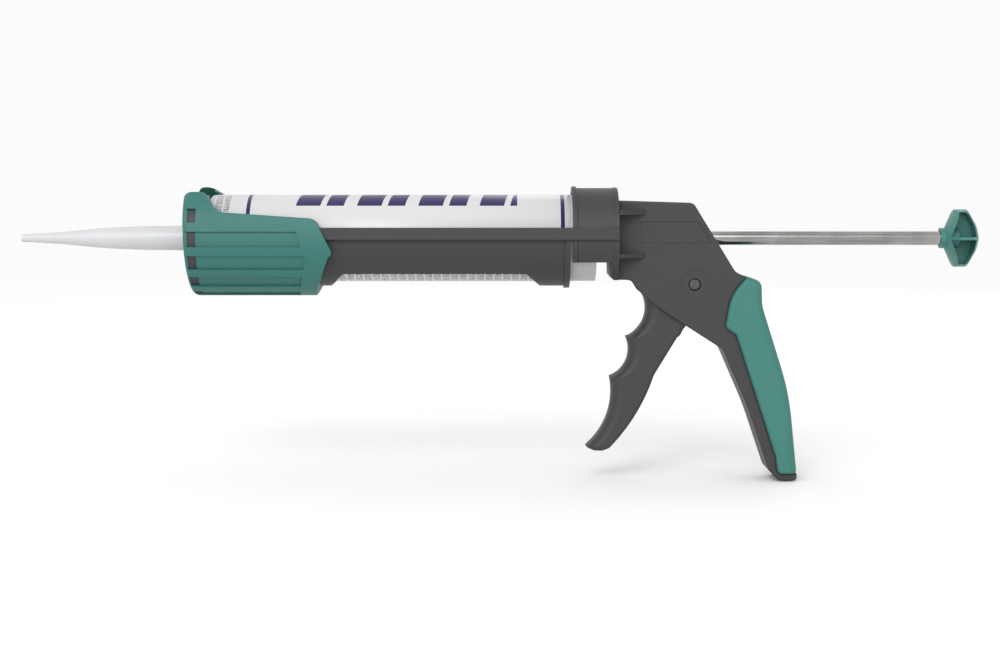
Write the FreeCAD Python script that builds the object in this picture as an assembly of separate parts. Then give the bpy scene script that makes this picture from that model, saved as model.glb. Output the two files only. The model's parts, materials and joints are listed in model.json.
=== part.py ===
import FreeCAD, Part
import math
import os

# Caulking gun with a cartridge in it. Millimetres, +Z up.
# +X runs along the push rod to the pull knob, the nozzle points to -X, -Y is the near side.
# The origin is on the push rod's axis, at the front face of the collar's rear wall.

V = FreeCAD.Vector

# ---- fits ------------------------------------------------------------------
RUN = 0.06           # radial running clearance of a shaft in its hole
PLAY = 0.2           # gap between faces that move past each other
SEAT = 0.1           # gap between moulded pieces that plug together
SWING = 0.4          # gap each side of the trigger inside the housing

# ---- cartridge -------------------------------------------------------------
CART_R = 24.5        # outside radius of a standard 310 ml cartridge
CART_LEN = 218.0     # shoulder to rear end
CART_WALL = 1.3
CART_GAP = 7.6       # rear end to the collar's rear wall
CART_FRONT = 3.0     # thickness of the shoulder wall
SPOUT_R = 5.2        # threaded spout that the nozzle screws on
SPOUT_LEN = 15.0
SPOUT_BORE = 3.4
PISTON_LEN = 17.5
PISTON_SKIN = 2.0

# ---- nozzle ----------------------------------------------------------------
NOZZLE_LEN = 109.0   # skirt to tip
NOZZLE_R = 7.0
NOZZLE_SKIRT_R = 9.3
NOZZLE_TIP_R = 2.15
NOZZLE_BORE = 1.4
NOZZLE_BORE_LEN = 6.0

# ---- push rod --------------------------------------------------------------
ROD_R = 4.0
ROD_STEP = 1.0       # how much the end that carries the plunger disc is turned down
DISC_X = -92.6       # front face of the plunger disc
DISC_T = 2.0
DISC_GAP = 1.0       # plunger disc to cartridge wall
NUT_T = 4.2
NUT_AF = 9.0         # across the flats
WASHER_R = 6.5
WASHER_T = 1.0

# ---- pull knob -------------------------------------------------------------
KNOB_X = 189.4       # front face of the hub
KNOB_HUB = 1.8       # wall of the hub round the rod
KNOB_R = 16.4
KNOB_LEN = 21.8
KNOB_SOCKET = 8.5    # how far the rod goes in
KNOB_WALL = 1.6

# ---- cradle ----------------------------------------------------------------
BAY_GAP = 0.5        # cartridge to trough
TROUGH_WALL = 2.2
RAIL_OUT = 3.1       # how far the side rails stand out from the trough
RAIL_LOW = -0.5
RAIL_TOP = 6.4
RAIL_EDGE = 0.6
FACE_T = 5.2         # front plate that takes the cartridge's thrust
FACE_TOP = 18.0
SLOT_GAP = 0.6       # nozzle skirt to the slot it drops into
WINDOW_FROM = 75.6   # cartridge shoulder to the window in the trough's floor
WINDOW_REAR = -47.0
WINDOW_RISE = 7.5    # how far the window's edges stand above the trough's lowest line
HEEL_GAP = 1.3       # flange at the trough's rear end to the collar
HEEL_T = 3.1
HEEL_OUT = 1.2       # how far it stands out

# ---- front grip ------------------------------------------------------------
GRIP_WALL = 5.5
GRIP_AHEAD = 12.1    # front plane to the cartridge's shoulder, on the rod's axis
GRIP_LEAN = -0.04    # lean of the front plane, mm of X for each mm of Z
GRIP_LIP = 1.6       # lip in front of the cradle's rim
GRIP_RIM = 1.5       # the grip's radius less the rim's
GRIP_ROUND = 3.6
EAR_DROP = 6.4       # top of the near ears below the grip's radius
EAR_ROUND = 5.0      # rounding of their front corners
FLUTE_DEPTH = 1.2
FLUTE_DEG = 15.0
FLUTE_PITCH = 24.0
FLUTES = (0, -1, -2, -3)      # panels on each side, counted up from the rod's height
VENTS = (1, 0, -1, -2, -3)    # small openings in front of them
VENT_FROM = 2.5      # front plane to the openings
VENT_LEN = 4.8
SCALLOP = 0.9        # depth of the hollows from the front plane to the openings

# ---- collar ----------------------------------------------------------------
COLLAR_FRONT = -21.0
COLLAR_REAR = 4.9    # rear face, where the housing starts
COLLAR_WALL = 3.2
COLLAR_GAP = 0.8     # cartridge to collar
BEAD_OUT = 0.9       # how far its front bead stands out
BEAD_T = 2.5
COLLAR_CUT = -13.0   # cut away below this height
COLLAR_FOOT = -23.3  # lower edge of the rear wall
COLLAR_EDGE = 0.5
FOOT_BACK = 0.6      # how far the rear wall is thinned below the cut
NECK_WALL = 3.3
NECK_FLANGE = 2.5    # how far the neck's flange stands out
NECK_FLANGE_T = 2.5
BUSH_WALL = 2.2      # front bush and friction ring
BUSH_SEAT = 1.2      # collar wall left in front of them
RING_T = 2.4
RING_GRIP = 0.02     # the friction ring sits closer to the rod than the bushes

# ---- housing ---------------------------------------------------------------
HOUSE_HALF = 13.0    # half thickness of the body
SHELL = 2.6
EDGE = 1.0           # rounding of the shells' outer edges
TOP_Z = 21.4
GUSSET_OUT = 12.0    # how far the ribs behind the collar stand out from the shells
GUSSET_LEN = 15.6
GUSSET_T = 2.6
GUSSET_Z = (14.8, -9.5)
PAD_T = 2.5          # pad height above the shells
PAD_BACK = 2.8       # pad thickness behind the handle
PAD_ROUND = 4.4      # rounding of the pads' rear edges
PAD_EDGE = 2.0       # rounding of their other edges
PAD_FOOT = -134.0    # lower end of the pads
PIVOT = (48.4, -26.0)
PIN_R = 2.5
PIN_HEAD = 0.6       # how far the head stands out from the pin
PIN_HEAD_T = 1.4
PIN_SINK = 0.5       # how far the head sits below the face
PIN_RIM = 0.5        # gap round the head
CLIP_OUT = 2.3       # spring clip, beyond the pin
CLIP_T = 0.8
REAR_BUSH_WALL = 2.4
REAR_BUSH_X = 51.0
PIVOT_BOSS_R = 8.3   # corners of the eight-sided pad round the pivot
PIVOT_BOSS_T = 0.3
PANEL_SINK = 0.6     # plain sunk panel on each side
GROOVE = 0.8         # width and depth of the groove round each pad
SCREW_R = 1.5
SCREW_HEAD_R = 2.8
SCREW_HEAD_T = 2.0
SCREW_SINK = 1.0
CROSS = 3.2          # cross recess in the heads: length and width of its slots, and its depth
CROSS_T = 0.7
CROSS_DEEP = 1.0
BOSS_R = 3.4
SCREWS = ((13.5, 14.0), (43.5, 14.2), (10.6, -18.2), (65.0, -22.5), (71.4, -67.0), (84.8, -100.5))

# ---- trigger and drive -----------------------------------------------------
ARM_R = 4.0          # nose of the fork that pushes the drive plates
ARM_AHEAD = 2.4      # nose ahead of the pivot
FORK_GAP = 0.9       # rod to fork
HUB_R = 8.5
FINGER_R = 7.0       # rounding of the trigger's front edges
PALM_R = 2.4         # rounding of its rear edges
FINGER_Z = (-27.8, -56.2, -79.2, -119.2)   # top, the two ridges, and the tip
PLATE_T = 2.0
PLATE_GAP = 1.2      # drive plates to the shells
PLATE_Z = (-9.0, 10.0)
SPRING_GAP = 2.7     # rod to the wire
WIRE_R = 0.7
SPRING_TURNS = 6

# ---- derived places --------------------------------------------------------
CART_X1 = -CART_GAP
CART_X0 = CART_X1 - CART_LEN
CART_IN = CART_R - CART_WALL
TROUGH_IN = CART_R + BAY_GAP
TROUGH_OUT = TROUGH_IN + TROUGH_WALL
RAIL_Y = TROUGH_OUT + RAIL_OUT
GRIP_R = TROUGH_OUT + GRIP_WALL
GRIP_FRONT = CART_X0 - GRIP_AHEAD
FAR_FRONT = GRIP_FRONT - 60      # a place well ahead of the grip, where cutters start
EAR_TOP = GRIP_R - EAR_DROP
SLOT_HALF = NOZZLE_SKIRT_R + SLOT_GAP
COLLAR_IN = CART_R + COLLAR_GAP
COLLAR_OUT = COLLAR_IN + COLLAR_WALL
FACE_X1 = CART_X0 - PLAY
FACE_X0 = FACE_X1 - FACE_T
RIM_R = GRIP_R - GRIP_RIM
RAIL_END = COLLAR_REAR - 0.4
BUSH_R = ROD_R + BUSH_WALL
NECK_R = BUSH_R + NECK_WALL
NECK_X1 = COLLAR_REAR + SHELL + SEAT
NECK_X2 = NECK_X1 + NECK_FLANGE_T
REAR_BUSH_R = ROD_R + REAR_BUSH_WALL
HOUSE_IN = HOUSE_HALF - SHELL
TRIGGER_HALF = HOUSE_IN - SWING
FORK_HALF = ROD_R + FORK_GAP
ARM_X = PIVOT[0] - ARM_AHEAD
PIN_HEAD_R = PIN_R + PIN_HEAD
CLIP_Y = HOUSE_HALF - 1.1
DISC_R = CART_IN - DISC_GAP
ROD_END_R = ROD_R - ROD_STEP
KNOB_HUB_R = ROD_R + KNOB_HUB
PISTON_X1 = DISC_X - 0.4
PISTON_X0 = PISTON_X1 - PISTON_LEN
PLATE_X1 = ARM_X - ARM_R - SEAT
PLATE_X0 = PLATE_X1 - 2 * PLATE_T
PLATE_HALF = HOUSE_IN - PLATE_GAP
SPRING_R = ROD_R + SPRING_GAP + WIRE_R


# ---- shape helpers ---------------------------------------------------------
def cyl(x0, x1, r):
    """Cylinder along X, on the rod's axis."""
    return Part.makeCylinder(r, x1 - x0, V(x0, 0, 0), V(1, 0, 0))


def tube(x0, x1, r_out, r_in):
    return cyl(x0, x1, r_out).cut(cyl(x0 - 1, x1 + 1, r_in))


def pin(x, z, y0, y1, r):
    """Cylinder along Y at (x, z)."""
    return Part.makeCylinder(r, y1 - y0, V(x, y0, z), V(0, 1, 0))


def block(x0, x1, y0, y1, z0, z1):
    return Part.makeBox(x1 - x0, y1 - y0, z1 - z0, V(x0, y0, z0))


def mirrored(shape):
    """The same shape on the other side of the middle plane."""
    return shape.mirror(V(0, 0, 0), V(0, 1, 0))


def outline(*steps):
    """Closed outline in the XZ plane. A step is a corner (x, z), a corner (x, z, r) rounded to radius r,
    or an arc (xm, zm, x, z) through (xm, zm) to (x, z)."""
    count = len(steps)
    ends = [V(step[-2], 0, step[-1]) if len(step) != 3 else V(step[0], 0, step[1]) for step in steps]
    enter = list(ends)
    leave = list(ends)
    bends = {}
    for k, step in enumerate(steps):
        if len(step) != 3:
            continue
        here = ends[k]
        back = (ends[k - 1] - here).normalize()
        ahead = (ends[(k + 1) % count] - here).normalize()
        half = back.getAngle(ahead) / 2
        reach = step[2] / math.tan(half)
        enter[k] = here + back * reach
        leave[k] = here + ahead * reach
        middle = (back + ahead).normalize()
        bends[k] = here + middle * (step[2] / math.sin(half) - step[2])
    edges = []
    for k, step in enumerate(steps):
        at = leave[k - 1]
        if len(step) == 4:
            edges.append(Part.Arc(at, V(step[0], 0, step[1]), ends[k]).toShape())
        elif at.distanceToPoint(enter[k]) > 1e-6:
            edges.append(Part.LineSegment(at, enter[k]).toShape())
        if k in bends:
            edges.append(Part.Arc(enter[k], bends[k], leave[k]).toShape())
    return Part.Face(Part.Wire(edges))


def slab(face, y0, y1):
    """A side outline given its width from y0 to y1."""
    moved = face.copy()
    moved.translate(V(0, y0, 0))
    return moved.extrude(V(0, y1 - y0, 0))


def turned(*points):
    """Solid of revolution about the rod's axis, its outline given as (x, radius)."""
    return outline(*points).revolve(V(0, 0, 0), V(1, 0, 0), 360)


def rounded(solid, radius, wanted):
    """Fillet the edges for which wanted(edge) is true."""
    edges = [e for e in solid.Edges if wanted(e)]
    return solid.makeFillet(radius, edges)


def near_any(edge, places):
    """True for an edge along Y that stands at one of the (x, z) places."""
    box = edge.BoundBox
    return any(math.hypot(box.Center.x - x, box.Center.z - z) < 0.2 for x, z in places)


def joined(first, *others):
    solid = first
    for other in others:
        solid = solid.fuse(other)
    return solid.removeSplitter()


def front_half(lean_offset):
    """Everything behind the grip's leaning front plane, moved back by lean_offset."""
    x = GRIP_FRONT + lean_offset
    z = 60.0
    keep = outline((x - GRIP_LEAN * z, -z), (x + GRIP_LEAN * z, z), (60, z), (60, -z))
    return slab(keep, -60, 60)


# ---- cartridge -------------------------------------------------------------
def cartridge_tube():
    body = cyl(CART_X0, CART_X1, CART_R)
    body = rounded(body, 2.0, lambda e: e.BoundBox.XMax < CART_X0 + 0.1)
    body = joined(body, cyl(CART_X0 - SPOUT_LEN, CART_X0 + 1, SPOUT_R))
    body = body.cut(cyl(CART_X0 + CART_FRONT, CART_X1 + 1, CART_IN))
    return body.cut(cyl(CART_X0 - SPOUT_LEN - 1, CART_X0 + CART_FRONT + 1, SPOUT_BORE))


def cartridge_piston():
    body = cyl(PISTON_X0, PISTON_X1, CART_IN - SEAT)
    body = rounded(body, 3.0, lambda e: e.BoundBox.XMax < PISTON_X0 + 0.1)
    return body.cut(cyl(PISTON_X0 + PISTON_SKIN, PISTON_X1 + 1, CART_IN - SEAT - PISTON_SKIN))


def sealant():
    return cyl(CART_X0 + CART_FRONT, PISTON_X0 - SEAT, CART_IN)


def nozzle():
    x0 = CART_X0 - SEAT - NOZZLE_LEN
    x1 = CART_X0 - SEAT
    skirt = x1 - 3.4
    thread = CART_X0 - SPOUT_LEN - PLAY
    cone = NOZZLE_LEN * 0.2
    return turned(
        (x0, NOZZLE_BORE), (x0, NOZZLE_TIP_R), (x0 + cone, 3.4), (x0 + 2 * cone, 5.5),
        (x0 + 2.6 * cone, 6.3, x0 + 3.2 * cone, 6.8), (skirt, NOZZLE_R + 0.2),
        (skirt, NOZZLE_SKIRT_R), (x1, NOZZLE_SKIRT_R), (x1, SPOUT_R + SEAT),
        (thread, SPOUT_R + SEAT), (x0 + NOZZLE_BORE_LEN, NOZZLE_BORE))


# ---- cradle, front grip and collar -----------------------------------------
def rail(x0, x1, inner_r, gap=0.0):
    """Both side rails, hollowed to inner_r."""
    half = block(x0, x1, inner_r * 0.8, RAIL_Y + gap, RAIL_LOW - gap, RAIL_TOP + gap)
    half = rounded(half, RAIL_EDGE, lambda e: e.BoundBox.XLength > 1 and e.BoundBox.YMin > inner_r)
    both = joined(half, mirrored(half))
    return both.cut(cyl(x0 - 1, x1 + 1, inner_r))


def cradle():
    below = block(FAR_FRONT, 50, -60, 60, -60, 0)
    heel_x1 = COLLAR_FRONT - HEEL_GAP
    trough = tube(FACE_X0, heel_x1, TROUGH_OUT, TROUGH_IN).common(below)
    heel = tube(heel_x1 - HEEL_T, heel_x1, TROUGH_OUT + HEEL_OUT, TROUGH_IN).common(below)
    rails = rail(FACE_X0, COLLAR_FRONT - PLAY, TROUGH_IN)
    tongues = rail(COLLAR_FRONT - PLAY, RAIL_END, COLLAR_OUT)
    lower = block(FAR_FRONT, 0, -60, 60, -60, FACE_TOP)
    plate = cyl(FACE_X0, FACE_X1, TROUGH_OUT).common(lower)
    rim = cyl(FACE_X0 - 12, FACE_X1, RIM_R).common(front_half(GRIP_LIP)).cut(cyl(FAR_FRONT, FACE_X0, TROUGH_IN))
    body = joined(trough, heel, rails, tongues, plate, rim.common(lower))
    opening = block(FAR_FRONT, FACE_X1 + 1, -SLOT_HALF, SLOT_HALF, 0, 60)
    body = body.cut(joined(opening, cyl(FAR_FRONT, FACE_X1 + 1, SLOT_HALF)))
    top = WINDOW_RISE - TROUGH_OUT
    low = -TROUGH_OUT - 5
    slope = 1.1 * (top - low)
    front = CART_X0 + WINDOW_FROM
    window = outline((front, top), (WINDOW_REAR, top), (WINDOW_REAR + slope, low), (front - slope, low))
    return body.cut(slab(window, -TROUGH_OUT, TROUGH_OUT))


def grip_side():
    """Side outline of the front grip, without its horn."""
    x = GRIP_FRONT
    top = EAR_TOP
    ahead = x + GRIP_LEAN * top - 0.1
    return outline(
        (x - 12, -60), (x + 60.4, -60), (x + 68.2, -40), (x + 80.5, -10), (x + 82.3, -7.8, x + 81.8, -5.6),
        (x + 75.7, 6.6), (x + 73.2, 10.3, x + 68.9, top - 14.6), (x + 23.9, top - 11.6),
        (x + 18.5, top - 10.3, x + 15.5, top - 7.5), (x + 13.1, top - 3.5), (x + 11.1, top - 1.0, x + 8.2, top),
        (ahead, top, EAR_ROUND), (ahead, top - 8), (x - 12, top - 8))


def horn_side():
    """Side outline of the taller horn on the far side."""
    x = GRIP_FRONT
    top = EAR_TOP
    return outline(
        (x + 1.4, 10), (x + 1.4, top - 0.3), (x + 2.8, top + 1.6, x + 5.5, top + 2.6),
        (x + 8.9, top + 2.4, x + 11.5, top + 1.3), (x + 17.4, top - 2.7), (x + 25.7, top - 9.3),
        (x + 32.7, 10.0))


def flute(angle, x0, x1, depth_r):
    """Cutter for one panel of the grip, at an angle round the rod's axis."""
    half = GRIP_R * math.sin(math.radians(FLUTE_DEG / 2))
    bar = block(x0, x1, 0, GRIP_R + 5, -half, half)
    bar.rotate(V(0, 0, 0), V(1, 0, 0), angle)
    return bar.cut(cyl(x0 - 1, x1 + 1, depth_r))


def front_grip():
    x = GRIP_FRONT
    rear = x + 98
    body = cyl(x - 20, rear, GRIP_R).common(front_half(0))
    body = rounded(body, GRIP_ROUND, lambda e: e.BoundBox.XMax < x + 38 and e.BoundBox.ZLength > 30)
    kept = body.common(slab(grip_side(), -60, 60))
    horn = cyl(x - 20, x + 38, GRIP_R).common(slab(horn_side(), 8, 60))
    body = joined(kept, horn)
    body = body.cut(cyl(FAR_FRONT, rear, TROUGH_OUT + SEAT))
    reach = outline((x - 22, -40), (x + 60.7, -40), (x + 67.7, -12), (x + 62.7, 6.0), (x - 22, 6.0))
    ends = slab(reach, -60, 60)
    for step in FLUTES:
        flat = flute(step * FLUTE_PITCH, x - 22, rear - 20, GRIP_R - FLUTE_DEPTH).common(ends)
        body = body.cut(flat).cut(mirrored(flat))
    for step in VENTS:
        vent = flute(step * FLUTE_PITCH, x + VENT_FROM, x + VENT_FROM + VENT_LEN, RIM_R + SEAT)
        hollow = flute(step * FLUTE_PITCH, x - 22, x + VENT_FROM + 1, GRIP_R - SCALLOP)
        for cutter in (vent, hollow):
            body = body.cut(cutter).cut(mirrored(cutter))
    body = body.cut(cyl(FACE_X0 - 20, FACE_X1 + SEAT, RIM_R + SEAT).common(front_half(GRIP_LIP - SEAT)))
    return body.cut(rail(FAR_FRONT, rear, TROUGH_IN, SEAT))


def collar():
    bead = COLLAR_FRONT + BEAD_T
    lip = COLLAR_REAR - BEAD_T
    ring = turned(
        (COLLAR_FRONT, COLLAR_IN), (COLLAR_FRONT, COLLAR_OUT + BEAD_OUT, COLLAR_EDGE),
        (bead, COLLAR_OUT + BEAD_OUT, COLLAR_EDGE), (bead, COLLAR_OUT), (lip, COLLAR_OUT),
        (lip, COLLAR_OUT + BEAD_OUT / 3), (COLLAR_REAR, COLLAR_OUT + BEAD_OUT / 3, COLLAR_EDGE),
        (COLLAR_REAR, COLLAR_IN))
    wall = cyl(0, COLLAR_REAR, COLLAR_IN + 1)
    neck = cyl(0, NECK_X2, NECK_R)
    flange = cyl(NECK_X1, NECK_X2, NECK_R + NECK_FLANGE)
    flange = flange.common(block(0, 60, -HOUSE_IN + SEAT, HOUSE_IN - SEAT, -60, 60))
    body = joined(ring, wall, neck, flange)
    undercut = outline(
        (-60, -60), (-60, COLLAR_CUT), (FOOT_BACK, COLLAR_CUT), (FOOT_BACK, COLLAR_FOOT + 2.3),
        (FOOT_BACK + 1.8, COLLAR_FOOT), (60, COLLAR_FOOT), (60, -60))
    body = body.cut(slab(undercut, -60, 60))
    body = body.cut(cyl(BUSH_SEAT, NECK_X2 + 1, BUSH_R)).cut(cyl(-1, BUSH_SEAT + 1, ROD_R + 0.6))
    return body.cut(rail(-60, RAIL_END + SEAT, COLLAR_OUT, SEAT))


def friction_ring():
    return tube(BUSH_SEAT, BUSH_SEAT + RING_T, BUSH_R, ROD_R + RING_GRIP)


def front_bush():
    return tube(BUSH_SEAT + RING_T, NECK_X2, BUSH_R, ROD_R + RUN)


# ---- housing ---------------------------------------------------------------
def core_side():
    """Side outline of the two shells, under the pads."""
    t = PAD_BACK
    return outline(
        (COLLAR_REAR, TOP_Z), (47.4, 20.1, 4.0), (71.4, -18.8, 6.0), (86.4 - t, -24.6, 5.0),
        (86.9 - t, -38.2, 25.0), (102.7 - t, -87.5, 150.0), (107.6 - t, PAD_FOOT), (107.6, PAD_FOOT),
        (107.6, PAD_FOOT - 4.0, 2.0), (97.0, PAD_FOOT - 3.9, 4.0), (91.4, -131.6, 3.0), (79.2, -96.0, 150.0),
        (64.6, -62.8, 4.0), (29.0, -40.0, 40.0), (17.3, -29.8, 1.0), (13.4, -23.4, 7.0),
        (COLLAR_REAR, COLLAR_FOOT))


def cavity_side():
    """Side outline of the hollow inside the shells, open along the trigger's mouth."""
    hollow = core_side().makeOffset2D(-SHELL, 0, False, False, False)
    mouth = outline((12.8, -20.2), (62.6, -50.0), (62.6, -60.4), (50.0, -75.0), (0, -45.0))
    return hollow.fuse(mouth).removeSplitter().Faces[0]


def shell_blank():
    """Both shells as one closed block with its outer edges rounded."""
    body = slab(core_side(), -HOUSE_HALF, HOUSE_HALF)
    return rounded(body, EDGE, lambda e: e.BoundBox.YLength < 0.01 and e.BoundBox.XMin > COLLAR_REAR - 0.05
                   and e.BoundBox.XLength + e.BoundBox.ZLength > 0.01 and e.BoundBox.XMax > COLLAR_REAR + 0.05)


def gusset(z_mid):
    """Rib from the collar's rear face to the side of the housing."""
    root = HOUSE_HALF - 1
    reach = HOUSE_HALF + GUSSET_OUT
    end = COLLAR_REAR + GUSSET_LEN
    top = Part.makePolygon([
        V(COLLAR_REAR, root, 0), V(COLLAR_REAR, reach, 0), V(COLLAR_REAR + 2.5, reach - 1, 0),
        V(end, HOUSE_HALF, 0), V(end, root, 0), V(COLLAR_REAR, root, 0)])
    rib = Part.Face(top).extrude(V(0, 0, GUSSET_T))
    rib.translate(V(0, 0, z_mid - GUSSET_T / 2))
    return rib


def pad_side():
    """Side outline of a handle pad."""
    return outline(
        (79.4, -21.8), (86.4, -24.4, 5.0), (86.9, -38.2, 25.0), (102.7, -87.5, 150.0), (107.6, PAD_FOOT),
        (96.6, PAD_FOOT, 3.0), (95.2, -123.8, 4.0), (72.2, -54.6, 3.0), (65.9, -50.1, 2.5), (69.0, -32.0, 24.0),
        (77.8, -22.0, 2.0))


def pivot_boss(face):
    """Thin eight-sided pad round the pivot, on one side."""
    octagon = Part.makePolygon([
        V(PIVOT[0] + PIVOT_BOSS_R * math.cos(math.radians(22.5 + 45 * k)), 0,
          PIVOT[1] + PIVOT_BOSS_R * math.sin(math.radians(22.5 + 45 * k))) for k in range(9)])
    boss = slab(Part.Face(octagon), HOUSE_HALF - 1, HOUSE_HALF + PIVOT_BOSS_T)
    return boss if face > 0 else mirrored(boss)


def sunk_panel():
    """Side outline of the plain sunk panel."""
    return outline(
        (17.5, 9.6), (49.5, 9.6), (51.0, 9.0, 51.8, 7.7), (57.6, -1.4), (57.4, -2.5, 56.6, -2.8), (17.5, -2.8))


def shell(side):
    """One half of the housing: side -1 is the near shell, +1 the far shell with the screw heads."""
    blank = shell_blank()
    body = blank.cut(slab(cavity_side(), -HOUSE_IN, HOUSE_IN))
    body = joined(body, cyl(REAR_BUSH_X + 1, 70, REAR_BUSH_R + SHELL).common(blank))
    for x, z in SCREWS:
        body = body.fuse(pin(x, z, -HOUSE_IN - 1, HOUSE_IN + 1, BOSS_R).common(blank))
    ribs = joined(gusset(GUSSET_Z[0]), gusset(GUSSET_Z[1]))
    body = joined(body, ribs, mirrored(ribs), pivot_boss(-1), pivot_boss(1))
    body = body.cut(cyl(0, NECK_X1, NECK_R + SEAT))
    body = body.cut(cyl(REAR_BUSH_X - 1, 80, REAR_BUSH_R))
    for cutter, depth in ((sunk_panel(), PANEL_SINK), (groove(), GROOVE)):
        sunk = slab(cutter, HOUSE_HALF - depth, HOUSE_HALF + 1)
        body = body.cut(sunk).cut(mirrored(sunk))
    half = block(-60, 200, 0, 60, -200, 60) if side > 0 else block(-60, 200, -60, 0, -200, 60)
    body = body.common(half)
    body = body.cut(pin(PIVOT[0], PIVOT[1], -60, 60, PIN_R))
    if side < 0:
        body = body.cut(pin(PIVOT[0], PIVOT[1], -60, PIN_SINK + PIN_HEAD_T - HOUSE_HALF, PIN_HEAD_R + PIN_RIM))
    else:
        body = body.cut(pin(PIVOT[0], PIVOT[1], CLIP_Y - SEAT, 60, PIN_R + CLIP_OUT + PIN_RIM))
    for x, z in SCREWS:
        body = body.cut(pin(x, z, SHELL - HOUSE_HALF, 60, SCREW_R))
        if side > 0:
            body = body.cut(pin(x, z, HOUSE_HALF - SCREW_SINK - SCREW_HEAD_T, 60, SCREW_HEAD_R + PIN_RIM))
    return body


def groove():
    """Narrow groove in the shells round the edge of a pad."""
    face = pad_side()
    wide = face.makeOffset2D(GROOVE, 0, False, False, False)
    return wide.cut(face)


def pad(side):
    """Soft pad over one side and half the back of the handle."""
    face = HOUSE_HALF + PAD_T
    body = slab(pad_side(), 0, face)
    body = rounded(body, PAD_ROUND, lambda e: e.BoundBox.YMin > face - 0.01 and behind(e))
    body = rounded(body, PAD_EDGE, lambda e: e.BoundBox.YMin > face - 0.01 and not behind(e))
    body = body.cut(shell_blank())
    return body if side > 0 else mirrored(body)


def behind(edge):
    """True for a pad edge along the top and the back of the handle."""
    middle = edge.BoundBox.Center
    return middle.x > 74.5 - 0.23 * middle.z and middle.z > PAD_FOOT + 1


def housing_screws():
    screws = []
    for x, z in SCREWS:
        y = HOUSE_HALF - SCREW_SINK
        head = pin(x, z, y - SCREW_HEAD_T, y, SCREW_HEAD_R)
        shank = pin(x, z, -HOUSE_HALF + SHELL, y, SCREW_R)
        long = CROSS / 2
        thin = CROSS_T / 2
        cross = joined(block(x - long, x + long, y - CROSS_DEEP, y + 1, z - thin, z + thin),
                       block(x - thin, x + thin, y - CROSS_DEEP, y + 1, z - long, z + long))
        screws.append(joined(head, shank).cut(cross))
    return Part.makeCompound(screws)


def pivot_pin():
    x, z = PIVOT
    near = -HOUSE_HALF + PIN_SINK
    head = rounded(pin(x, z, near, near + PIN_HEAD_T, PIN_HEAD_R), 0.4, lambda e: e.BoundBox.YMax < near + 0.1)
    body = joined(head, pin(x, z, near, HOUSE_HALF + 0.4, PIN_R))
    slot = pin(x, z, CLIP_Y, CLIP_Y + CLIP_T, PIN_R + 1).cut(pin(x, z, 0, 30, PIN_R - 0.5))
    return body.cut(slot)


def pin_clip():
    x, z = PIVOT
    ring = pin(x, z, CLIP_Y, CLIP_Y + CLIP_T, PIN_R + CLIP_OUT).cut(pin(x, z, 0, 30, PIN_R - 0.5))
    return ring.cut(block(x - 1.5, x + 1.5, 0, 30, z - 10, z))


def rear_bush():
    ring = tube(REAR_BUSH_X, 80, REAR_BUSH_R, ROD_R + RUN)
    return ring.common(slab(core_side(), -HOUSE_HALF, HOUSE_HALF))


# ---- trigger and drive -----------------------------------------------------
def trigger_side():
    """Side outline of the trigger: three finger hollows in front, one long curve behind, the arm on top."""
    x, z = PIVOT
    top, upper, lower, tip = FINGER_Z
    return outline(
        (x - HUB_R, z + 6.0, 4.0), (ARM_X - ARM_R, z + 15.0, 6.0), (ARM_X - ARM_R, 0),
        (ARM_X, ARM_R, ARM_X + ARM_R, 0), (ARM_X + ARM_R, z + 11.0, 3.0), (x + HUB_R, z + 5.0, 4.0),
        (x + HUB_R, z - 8.0, 10.0), (40.2, -54.8, 20.0), (26.2, -77.8),
        (14.9, -102.0, 0.6, tip - 1.0), (-5.4, tip - 3.3, -12.5, tip), (0.8, -97.2, 0.9, lower),
        (11.5, -66.5, 10.0, upper), (21.1, -43.0, 16.6, top), (17.3, -24.5, 5.0))


def finger_section(side, z, pinch):
    """Rounded outline of the trigger at height z, narrowed by pinch on every side."""
    across = side.common(Part.makeLine(V(-60, 0, z), V(100, 0, z))).BoundBox
    x0 = across.XMin + pinch
    x1 = across.XMax - pinch
    half = TRIGGER_HALF - pinch
    front = min(FINGER_R, half - 1, (x1 - x0) / 2)
    back = min(PALM_R, (x1 - x0) / 4)
    plan = outline((x0, -half, front), (x1, -half, back), (x1, half, back), (x0, half, front))
    plan.rotate(V(0, 0, 0), V(1, 0, 0), 90)
    plan.translate(V(0, 0, z))
    return plan.OuterWire


def finger_part(side, z0, z1, count):
    """The trigger between two heights, lofted through count + 1 sections."""
    heights = [z0 + (z1 - z0) * k / count for k in range(count + 1)]
    return Part.makeLoft([finger_section(side, z, 0) for z in heights], True, False)


def trigger():
    side = trigger_side()
    top, upper, lower, tip = FINGER_Z
    above = slab(side, -TRIGGER_HALF, TRIGGER_HALF).common(block(-60, 100, -60, 60, top, 60))
    closing = ((tip, 0), (tip - 0.9, 0.25), (tip - 1.7, 0.9), (tip - 2.2, 1.8))
    end = Part.makeLoft([finger_section(side, z, pinch) for z, pinch in closing], True, False)
    first = finger_part(side, top, upper, 7)
    second = finger_part(side, upper, lower, 6)
    third = finger_part(side, lower, tip, 7)
    body = joined(above, first, second, third, end)
    body = body.cut(block(0, 80, -FORK_HALF, FORK_HALF, PIVOT[1] + HUB_R, 20))
    return body.cut(pin(PIVOT[0], PIVOT[1], -60, 60, PIN_R + RUN))


def drive_plates():
    plates = []
    for k in range(2):
        x0 = PLATE_X0 + k * PLATE_T
        plate = block(x0, x0 + PLATE_T, -PLATE_HALF, PLATE_HALF, PLATE_Z[0], PLATE_Z[1])
        plate = rounded(plate, 3.0, lambda e: e.BoundBox.XLength > PLATE_T - 0.01 and e.BoundBox.YLength < 0.01)
        plates.append(plate.cut(cyl(0, 60, ROD_R + RUN)))
    return Part.makeCompound(plates)


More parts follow.
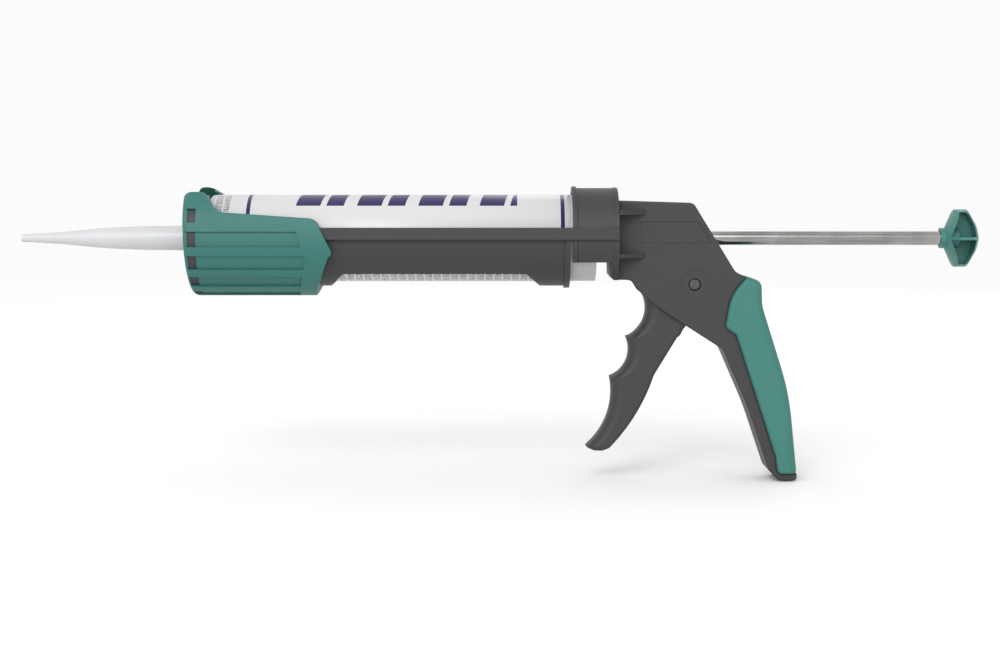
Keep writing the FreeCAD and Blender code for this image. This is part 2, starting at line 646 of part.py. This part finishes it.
def drive_spring():
    x0 = NECK_X2 + PLAY + WIRE_R
    x1 = PLATE_X0 - PLAY - WIRE_R
    path = Part.makeHelix((x1 - x0) / SPRING_TURNS, x1 - x0, SPRING_R)
    ring = Part.Wire(Part.makeCircle(WIRE_R, V(SPRING_R, 0, 0), V(0, 1, 0)))
    coil = Part.Wire(path).makePipeShell([ring], True, True)
    coil.rotate(V(0, 0, 0), V(0, 1, 0), 90)
    coil.translate(V(x0, 0, 0))
    return coil


# ---- push rod and knob -----------------------------------------------------
def push_rod():
    shoulder = DISC_X + DISC_T + SEAT
    tip = DISC_X - SEAT - WASHER_T - NUT_T - 1.2
    end = KNOB_X + KNOB_SOCKET
    return turned((tip, 0), (tip, ROD_END_R - 0.5), (tip + 0.5, ROD_END_R), (shoulder, ROD_END_R),
                  (shoulder, ROD_R), (end, ROD_R), (end, 0))


def plunger_disc():
    x1 = DISC_X + DISC_T
    bore = ROD_END_R + RUN
    return turned((DISC_X, bore), (DISC_X, DISC_R - 1.5), (DISC_X + 0.4, DISC_R - 0.4, DISC_X + 1.5, DISC_R),
                  (x1 + 3.0, DISC_R), (x1 + 3.0, DISC_R - DISC_T), (x1, DISC_R - DISC_T - 1.0), (x1, bore))


def plunger_washer():
    return tube(DISC_X - SEAT - WASHER_T, DISC_X - SEAT, WASHER_R, ROD_END_R)


def plunger_nut():
    x1 = DISC_X - SEAT - WASHER_T
    corner = NUT_AF / math.sqrt(3)
    hexagon = Part.makePolygon([
        V(x1 - NUT_T, corner * math.cos(math.radians(60 * k)), corner * math.sin(math.radians(60 * k)))
        for k in range(7)])
    return Part.Face(hexagon).extrude(V(NUT_T, 0, 0)).cut(cyl(x1 - 20, x1 + 1, ROD_END_R))


def knob():
    """Pull knob: a double cone, hollowed from both sides into four pockets between a web and a rib."""
    x = KNOB_X
    w = KNOB_WALL
    body = turned(
        (x, 0), (x, KNOB_HUB_R), (x + 2.8, KNOB_HUB_R), (x + 8.2, KNOB_R, 0.8), (x + 14.6, KNOB_R, 1.2),
        (x + 19.6, 8.6, 8.0), (x + KNOB_LEN, 2.5), (x + KNOB_LEN, 0))
    pocket = outline(
        (x + 2.8 + w, w / 2), (x + 8.2 + w / 2, KNOB_R - w, 0.6), (x + 14.6 - w, KNOB_R - w, 0.8),
        (x + 19.0 - w, 7.0, 3.0), (x + KNOB_LEN - 2 * w, w / 2))
    upper = slab(pocket, w / 2, 2 * KNOB_R)
    lower = upper.mirror(V(0, 0, 0), V(0, 0, 1))
    pockets = [upper, lower, mirrored(upper), mirrored(lower)]
    sleeve = cyl(x, x + KNOB_SOCKET + w, KNOB_HUB_R)
    for hollow in pockets:
        body = body.cut(hollow.cut(sleeve))
    return body.cut(cyl(x - 1, x + KNOB_SOCKET, ROD_R))


# ---- write one file for each piece -----------------------------------------
PARTS = {
    "cradle": cradle(),
    "front_grip": front_grip(),
    "collar": collar(),
    "friction_ring": friction_ring(),
    "front_bush": front_bush(),
    "housing_near": shell(-1),
    "housing_far": shell(1),
    "housing_screws": housing_screws(),
    "handle_pad_near": pad(-1),
    "handle_pad_far": pad(1),
    "pivot_pin": pivot_pin(),
    "pin_clip": pin_clip(),
    "rear_bush": rear_bush(),
    "trigger": trigger(),
    "drive_plates": drive_plates(),
    "drive_spring": drive_spring(),
    "push_rod": push_rod(),
    "plunger_disc": plunger_disc(),
    "plunger_washer": plunger_washer(),
    "plunger_nut": plunger_nut(),
    "pull_knob": knob(),
    "cartridge_tube": cartridge_tube(),
    "cartridge_piston": cartridge_piston(),
    "sealant": sealant(),
    "nozzle": nozzle(),
}

os.makedirs("parts", exist_ok=True)
for name, shape in PARTS.items():
    print(name, "solids", len(shape.Solids), "valid", shape.isValid(), "mm3", round(shape.Volume))
    shape.exportStep("parts/" + name + ".step")
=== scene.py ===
import json
import math

import bmesh
import bpy
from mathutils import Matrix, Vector


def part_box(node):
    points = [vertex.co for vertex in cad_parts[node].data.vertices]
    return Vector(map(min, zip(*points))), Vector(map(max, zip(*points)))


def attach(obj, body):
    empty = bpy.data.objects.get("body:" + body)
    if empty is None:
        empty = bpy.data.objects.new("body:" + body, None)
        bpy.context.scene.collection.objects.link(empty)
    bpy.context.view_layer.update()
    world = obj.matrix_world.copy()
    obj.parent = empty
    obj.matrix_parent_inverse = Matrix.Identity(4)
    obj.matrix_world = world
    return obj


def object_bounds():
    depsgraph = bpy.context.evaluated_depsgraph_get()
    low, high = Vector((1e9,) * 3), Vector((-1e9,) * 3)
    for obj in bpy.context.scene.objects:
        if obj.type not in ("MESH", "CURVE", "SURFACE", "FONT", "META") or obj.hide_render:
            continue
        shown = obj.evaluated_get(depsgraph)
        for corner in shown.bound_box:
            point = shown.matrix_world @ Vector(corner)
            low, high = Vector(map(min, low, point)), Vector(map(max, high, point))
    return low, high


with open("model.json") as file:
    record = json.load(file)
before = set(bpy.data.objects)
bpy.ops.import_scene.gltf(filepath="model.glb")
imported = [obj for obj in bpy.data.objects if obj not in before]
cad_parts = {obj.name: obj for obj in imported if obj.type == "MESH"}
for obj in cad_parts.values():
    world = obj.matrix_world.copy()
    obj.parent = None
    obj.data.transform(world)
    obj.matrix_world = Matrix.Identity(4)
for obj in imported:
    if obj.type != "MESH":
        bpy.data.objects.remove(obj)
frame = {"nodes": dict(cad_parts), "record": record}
cad_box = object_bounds()
nodes = frame["nodes"]
MM = 0.001


# ---- shader building -------------------------------------------------------
class Value:
    """A shader socket that takes part in plain arithmetic."""

    def __init__(self, shade, socket):
        self.shade = shade
        self.socket = socket

    def _math(self, operation, *values):
        return self.shade.node("Math", {"operation": operation}, dict(enumerate(values))).out(0)

    def __add__(self, other):
        return self._math("ADD", self, other)

    def __sub__(self, other):
        return self._math("SUBTRACT", self, other)

    def __rsub__(self, other):
        return self._math("SUBTRACT", other, self)

    def __mul__(self, other):
        return self._math("MULTIPLY", self, other)

    def __gt__(self, other):
        return self._math("GREATER_THAN", self, other)

    def __lt__(self, other):
        return self._math("LESS_THAN", self, other)

    __radd__ = __add__
    __rmul__ = __mul__

    def repeat(self, length):
        """Where the value stands within its repeat, from 0 to length."""
        return self._math("FLOORED_MODULO", self, length)

    def over(self, other):
        """Angle of (self, other), in radians."""
        return self._math("ARCTAN2", self, other)

    def size(self):
        return self._math("ABSOLUTE", self)

    def largest(self, other):
        return self._math("MAXIMUM", self, other)

    def ramp(self, low, high, to_low=0.0, to_high=1.0):
        """The value carried smoothly from low..high to to_low..to_high."""
        settings = {"interpolation_type": "SMOOTHSTEP"}
        return self.shade.node("MapRange", settings, {0: self, 1: low, 2: high, 3: to_low, 4: to_high}).out(0)


class Made:
    """A node that has been added; out() gives one of its outputs."""

    def __init__(self, shade, made):
        self.shade = shade
        self.made = made

    def out(self, which):
        return Value(self.shade, self.made.outputs[which])


class Shade:
    """One material and its node tree."""

    def __init__(self, name):
        self.material = bpy.data.materials.new(name)
        self.material.use_nodes = True
        self.tree = self.material.node_tree
        self.surface = self.tree.nodes["Principled BSDF"]

    def node(self, kind, settings, inputs):
        made = self.tree.nodes.new("ShaderNode" + kind)
        for key, value in settings.items():
            setattr(made, key, value)
        for key, value in inputs.items():
            self.join(made.inputs[key], value)
        return Made(self, made)

    def join(self, socket, value):
        if isinstance(value, Value):
            self.tree.links.new(value.socket, socket)
        elif isinstance(value, tuple) and len(value) == 3 and socket.type == "RGBA":
            socket.default_value = (*value, 1.0)
        else:
            socket.default_value = value

    def set(self, **values):
        """Sets or links the surface shader's own sockets."""
        for key, value in values.items():
            self.join(self.surface.inputs[key.replace("_", " ")], value)

    def place(self):
        return self.node("TexCoord", {}, {}).out("Object")

    def axes(self, place):
        """The place's x, y and z."""
        split = self.node("SeparateXYZ", {}, {0: place})
        return split.out(0), split.out(1), split.out(2)

    def stretched(self, place, x, y, z):
        return self.node("Mapping", {}, {"Vector": place, "Scale": (x, y, z)}).out(0)

    def noise(self, place, scale, detail=3.0, rough=0.55):
        values = {"Vector": place, "Scale": scale, "Detail": detail, "Roughness": rough}
        return self.node("TexNoise", {}, values).out(0)

    def cells(self, place, scale):
        return self.node("TexVoronoi", {}, {"Vector": place, "Scale": scale}).out("Distance")

    def mix(self, mask, first, second):
        values = {"Factor": mask, "A": first, "B": second}
        made = self.node("Mix", {"data_type": "RGBA"}, {})
        for name, value in values.items():
            socket = next(s for s in made.made.inputs if s.name == name and s.enabled)
            self.join(socket, value)
        socket = next(s for s in made.made.outputs if s.enabled)
        return Value(self, socket)

    def bump(self, height, distance, strength):
        values = {"Height": height, "Distance": distance, "Strength": strength}
        return self.node("Bump", {}, values).out(0)


def tone(colour, factor):
    return tuple(min(1.0, c * factor) for c in colour)


# ---- finishes --------------------------------------------------------------
GREY = (0.031, 0.031, 0.033)
GREEN = (0.033, 0.158, 0.131)
# a darker copy of the grip green, painted shade for the front grip
SHADED_GRIP_GREEN = (0.024, 0.130, 0.112)
KNOB_GREEN = (0.040, 0.165, 0.140)
NAVY = (0.006, 0.004, 0.070)
LABEL_WHITE = (0.52, 0.515, 0.522)
PRINT_GREY = (0.045, 0.045, 0.05)
FLOOR = (0.83, 0.83, 0.83)
SEAM_EDGE = (0.00005, 0.00022)  # half width of a parting line, where its fading starts and ends, in metres

# The label's print. Lengths are in metres, and angles are round the tube in radians, 1.57 at its top.
TOP = 1.57
TUBE_RADIUS = 0.0245
RINGS = (-0.2028, -0.0266)
RING_HALF = 0.0011
PRINT_START = -0.30
BLOCKS = (-0.179, -0.052)
BLOCK_PITCH = 0.0172
BLOCK_GAP = 0.0034
BLOCK_CHANGE = 0.0040           # how much shorter every other block is
BLOCK_LEAN = 0.004
BLOCK_UPRIGHT = 0.9             # the angle where the lean is nothing
BLOCK_REACH = 0.72
SHOULDER = (-0.2215, -0.2135)
SHOULDER_TURN = (0.55, 1.35)
UNDERSIDE = (-0.160, -0.040)
UNDERSIDE_REACH = 0.75
ROW_PITCH = 0.00125
ROW_HEIGHT = 0.00075
MARK_PITCH = 0.0049
MARK_LENGTH = 0.0039


def moulded(name, colour, grain, depth, roughness, scuff, seam=0.0):
    """Moulded plastic: a fine spark-eroded skin, faint flow variation, light rubbed patches and,
    where seam is given, the thin parting line along the middle plane."""
    shade = Shade(name)
    place = shade.place()
    across = shade.axes(place)[1]
    skin = shade.noise(place, grain, 2.0, 0.6)
    pits = shade.cells(place, grain * 0.8)
    flow = shade.noise(shade.stretched(place, 0.4, 1.0, 1.0), 28.0, 3.0)
    rub = shade.noise(place, 130.0, 5.0, 0.65).ramp(0.60, 0.78)
    line = across.size().ramp(*SEAM_EDGE, seam, 0.0)
    dull = shade.mix(flow, tone(colour, 0.93), tone(colour, 1.07))
    rubbed = shade.mix(rub * scuff, dull, tone(colour, 1.35))
    shade.set(
        Base_Color=shade.mix(line, rubbed, tone(colour, 0.35)),
        Roughness=roughness + 0.10 * flow - 0.12 * rub,
        Normal=shade.bump(skin + 0.6 * pits, depth, 0.35),
        Specular_IOR_Level=0.38)
    return shade.material


def steel(name, colour, roughness, along, streak):
    """Steel with its drawing or rolling marks: along is how the marks stretch on each axis."""
    shade = Shade(name)
    place = shade.place()
    lines = shade.noise(shade.stretched(place, *along), 900.0, 4.0, 0.7)
    cloud = shade.noise(place, 60.0, 4.0)
    spots = shade.noise(place, 420.0, 4.0, 0.7).ramp(0.66, 0.74)
    drawn = (0.6 * lines + 0.4 * cloud).ramp(0.36, 0.64)
    base = shade.mix(drawn, tone(colour, 0.74), tone(colour, 1.24))
    shade.set(
        Base_Color=shade.mix(spots * 0.5, base, tone(colour, 0.45)),
        Metallic=1.0,
        Roughness=roughness + streak * lines + 0.10 * spots,
        Normal=shade.bump(lines, 0.00002, 0.25))
    return shade.material


def printed_label():
    """Glossy white film: a navy ring near each end, a row of slanted blocks over the top, and fine rows of
    unreadable marks at the shoulder and along the underside."""
    shade = Shade("printed_label")
    place = shade.place()
    x, y, z = shade.axes(place)
    turn = z.over(0 - y)
    first, second = [(x - ring).size() < RING_HALF for ring in RINGS]
    along = x - PRINT_START
    leaning = along - (turn - BLOCK_UPRIGHT) * BLOCK_LEAN
    step = leaning.repeat(BLOCK_PITCH)
    even = (leaning.repeat(2 * BLOCK_PITCH) < BLOCK_PITCH) * BLOCK_CHANGE
    bar = (step > BLOCK_GAP) * (step < BLOCK_PITCH - even) * ((turn - TOP).size() < BLOCK_REACH)
    bars = bar * (x > BLOCKS[0]) * (x < BLOCKS[1])
    row = (turn * TUBE_RADIUS + 1.0).repeat(ROW_PITCH) < ROW_HEIGHT
    marks = shade.noise(shade.stretched(place, 1.0, 0.9, 0.9), 1500.0, 1.0) > 0.46
    column = along.repeat(MARK_PITCH) < MARK_LENGTH
    shoulder = (turn > SHOULDER_TURN[0]) * (turn < SHOULDER_TURN[1]) * (x > SHOULDER[0]) * (x < SHOULDER[1])
    below = ((turn + TOP).size() < UNDERSIDE_REACH) * (x > UNDERSIDE[0]) * (x < UNDERSIDE[1])
    small = row * marks * column * shoulder.largest(below)
    sheen = shade.noise(place, 24.0, 3.0)
    white = shade.mix(sheen, tone(LABEL_WHITE, 0.97), tone(LABEL_WHITE, 1.03))
    printed = shade.mix(first.largest(second).largest(bars), white, NAVY)
    ripple = shade.noise(shade.stretched(place, 1.0, 0.5, 0.5), 55.0, 2.0)
    shade.set(
        Base_Color=shade.mix(small, printed, PRINT_GREY),
        Roughness=0.26 + 0.10 * sheen,
        Normal=shade.bump(ripple, 0.0002, 0.2),
        Specular_IOR_Level=0.35,
        Coat_Weight=0.12,
        Coat_Roughness=0.12)
    return shade.material


def milky(name, colour, roughness, rings):
    """Milky polyethylene: soft light in the wall, faint turning rings along the axis."""
    shade = Shade(name)
    place = shade.place()
    along = shade.axes(place)[0]
    cloud = shade.noise(place, 90.0, 4.0)
    ring = (along * rings + 0.08 * cloud).repeat(1.0)
    shade.set(
        Base_Color=shade.mix(cloud, tone(colour, 0.94), tone(colour, 1.04)),
        Roughness=roughness + 0.12 * cloud,
        Normal=shade.bump((ring - 0.5).size(), 0.00005, 0.25),
        Subsurface_Weight=0.25,
        Subsurface_Scale=0.003)
    return shade.material


FINISHES = {
    "grey_plastic": moulded("grey_plastic", GREY, 2600.0, 0.00009, 0.47, 0.28, 0.8),
    "green_grip": moulded("green_grip", GREEN, 1900.0, 0.00008, 0.52, 0.14, 0.7),
    # the front grip's finish: the grip green darkened as painted shade
    "green_grip_shaded": moulded("green_grip_shaded", SHADED_GRIP_GREEN, 1900.0, 0.00008, 0.50, 0.14),
    "green_knob": moulded("green_knob", KNOB_GREEN, 2400.0, 0.00005, 0.36, 0.18),
    "black_rubber": moulded("black_rubber", (0.02, 0.02, 0.02), 2200.0, 0.0001, 0.7, 0.1),
    "white_acetal": moulded("white_acetal", (0.60, 0.60, 0.57), 2600.0, 0.00003, 0.35, 0.05),
    "zinc_steel": steel("zinc_steel", (0.46, 0.47, 0.49), 0.24, (1.0, 0.2, 1.0), 0.14),
    "pin_steel": steel("pin_steel", (0.095, 0.095, 0.098), 0.45, (1.0, 1.0, 1.0), 0.1),
    "spring_steel": steel("spring_steel", (0.28, 0.28, 0.30), 0.28, (1.0, 1.0, 1.0), 0.12),
    "rod_steel": steel("rod_steel", (0.30, 0.296, 0.288), 0.12, (0.02, 1.0, 1.0), 0.10),
    "white_cartridge": milky("white_cartridge", (0.40, 0.40, 0.41), 0.34, 300.0),
    "sealant_paste": moulded("sealant_paste", (0.66, 0.65, 0.61), 400.0, 0.0002, 0.5, 0.05),
    "clear_nozzle": milky("clear_nozzle", (0.50, 0.505, 0.515), 0.30, 420.0),
}
OWN_FINISH = {"front_grip": "green_grip_shaded"}  # nodes whose finish isn't their slot's; the front grip gets a darker copy of its green as painted shade


def finish_nodes():
    for part in frame["record"]["subparts"]:
        name = part["node"]
        mesh = nodes[name].data
        for slot in range(len(mesh.materials)):
            mesh.materials[slot] = FINISHES[OWN_FINISH.get(name, part["material_slot"])]


# ---- pieces ----------------------------------------------------------------
LABEL_ENDS = (-222.6, -22.2)    # millimetres along the tube
LABEL_THICK = 0.12
LABEL_CLEAR = 0.01              # its gap from the tube, which keeps the two surfaces apart
LABEL_TAPER = 0.1
LABEL_STEPS = 160


def piece(name, mesh, material, body):
    """An object at the origin from a finished bmesh, riding on a body."""
    data = bpy.data.meshes.new(name)
    mesh.to_mesh(data)
    mesh.free()
    data.materials.append(material)
    for face in data.polygons:
        face.use_smooth = True
    made = bpy.data.objects.new(name, data)
    bpy.context.scene.collection.objects.link(made)
    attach(made, body)
    return made


def revolved(profile, segments):
    """Closed ring turned about the rod's axis from (x, radius) corners in millimetres."""
    mesh = bmesh.new()
    corners = [mesh.verts.new((x * MM, 0, r * MM)) for x, r in profile]
    edges = [mesh.edges.new((corners[k - 1], corners[k])) for k in range(len(corners))]
    bmesh.ops.spin(mesh, geom=corners + edges, cent=(0, 0, 0), axis=(1, 0, 0), angle=math.tau,
                   steps=segments, use_merge=True)
    bmesh.ops.remove_doubles(mesh, verts=mesh.verts, dist=1e-7)
    bmesh.ops.recalc_face_normals(mesh, faces=mesh.faces)
    return mesh


def cartridge_label():
    """A thin film round the cartridge, thinned at its two ends."""
    front, rear = LABEL_ENDS
    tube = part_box("cartridge_tube")[1].z / MM
    inner = tube + LABEL_CLEAR
    outer = tube + LABEL_THICK
    profile = [(front, inner), (front + LABEL_TAPER, outer), (rear - LABEL_TAPER, outer), (rear, inner)]
    return piece("cartridge_label", revolved(profile, LABEL_STEPS), printed_label(), "frame")


# ---- stage, light and camera -----------------------------------------------
FLOOR_RADIUS = 14.0
FLOOR_GAP = 0.0006
ROOM = 0.965                    # brightness of the room round the object
SUN_HEIGHT = math.radians(28)   # above the floor
SUN_SPREAD = math.radians(50)
FOCAL_LENGTH = 62.64
CAMERA_PLACE = (-0.0617, -0.99546, 0.02607)
CAMERA_TILT = math.radians(90 - 4.6415)


def stage():
    """A pale floor just under the object."""
    low = cad_box[0]
    mesh = bmesh.new()
    bmesh.ops.create_circle(mesh, cap_ends=True, segments=96, radius=FLOOR_RADIUS)
    data = bpy.data.meshes.new("floor")
    mesh.to_mesh(data)
    mesh.free()
    floor = bpy.data.objects.new("floor", data)
    floor.location = (0, 0, low[2] - FLOOR_GAP)
    shade = Shade("pale_floor")
    mottle = shade.noise(shade.place(), 3.0, 2.0)
    shade.set(
        Base_Color=shade.mix(mottle, tone(FLOOR, 0.995), tone(FLOOR, 1.005)),
        Roughness=0.8,
        Specular_IOR_Level=0.0)
    data.materials.append(shade.material)
    bpy.context.scene.collection.objects.link(floor)


def aimed(light, place, target):
    """Puts a light in the scene, pointing at the target."""
    made = bpy.data.objects.new(light.name, light)
    made.location = place
    made.rotation_euler = (Vector(target) - Vector(place)).to_track_quat("-Z", "Y").to_euler()
    bpy.context.scene.collection.objects.link(made)


def soft_box(name, place, target, size, power):
    light = bpy.data.lights.new(name, "AREA")
    light.shape = "DISK"
    light.size = size
    light.energy = power
    aimed(light, place, target)


def lights():
    """An even white room, a very wide sun over the camera's shoulder that keeps the floor even to the
    horizon, and two soft boxes."""
    world = bpy.data.worlds.new("studio")
    bpy.context.scene.world = world
    world.use_nodes = True
    back = world.node_tree.nodes["Background"]
    back.inputs[0].default_value = (1.0, 1.0, 1.0, 1.0)
    back.inputs[1].default_value = ROOM
    middle = (-0.06, 0, -0.02)
    sun = bpy.data.lights.new("sun", "SUN")
    sun.angle = SUN_SPREAD
    sun.energy = ROOM * math.pi * (1 / FLOOR[0] - 1) / math.sin(SUN_HEIGHT)
    rise = math.tan(SUN_HEIGHT) * math.hypot(0.3, 1.0)
    aimed(sun, (-0.3, -1.0, rise), (0, 0, 0))
    soft_box("key", (-0.35, -1.25, 0.80), middle, 0.45, 4.0)
    soft_box("back", (0.5, 1.5, 0.9), middle, 1.0, 2.0)


def camera():
    lens = bpy.data.cameras.new("camera")
    lens.sensor_width = 36.0
    lens.lens = FOCAL_LENGTH
    lens.clip_start = 0.01
    made = bpy.data.objects.new("camera", lens)
    made.location = CAMERA_PLACE
    made.rotation_euler = (CAMERA_TILT, 0, 0)
    bpy.context.scene.collection.objects.link(made)
    bpy.context.scene.camera = made


bpy.context.scene.view_settings.view_transform = "Standard"
camera()
lights()
stage()
finish_nodes()
cartridge_label()
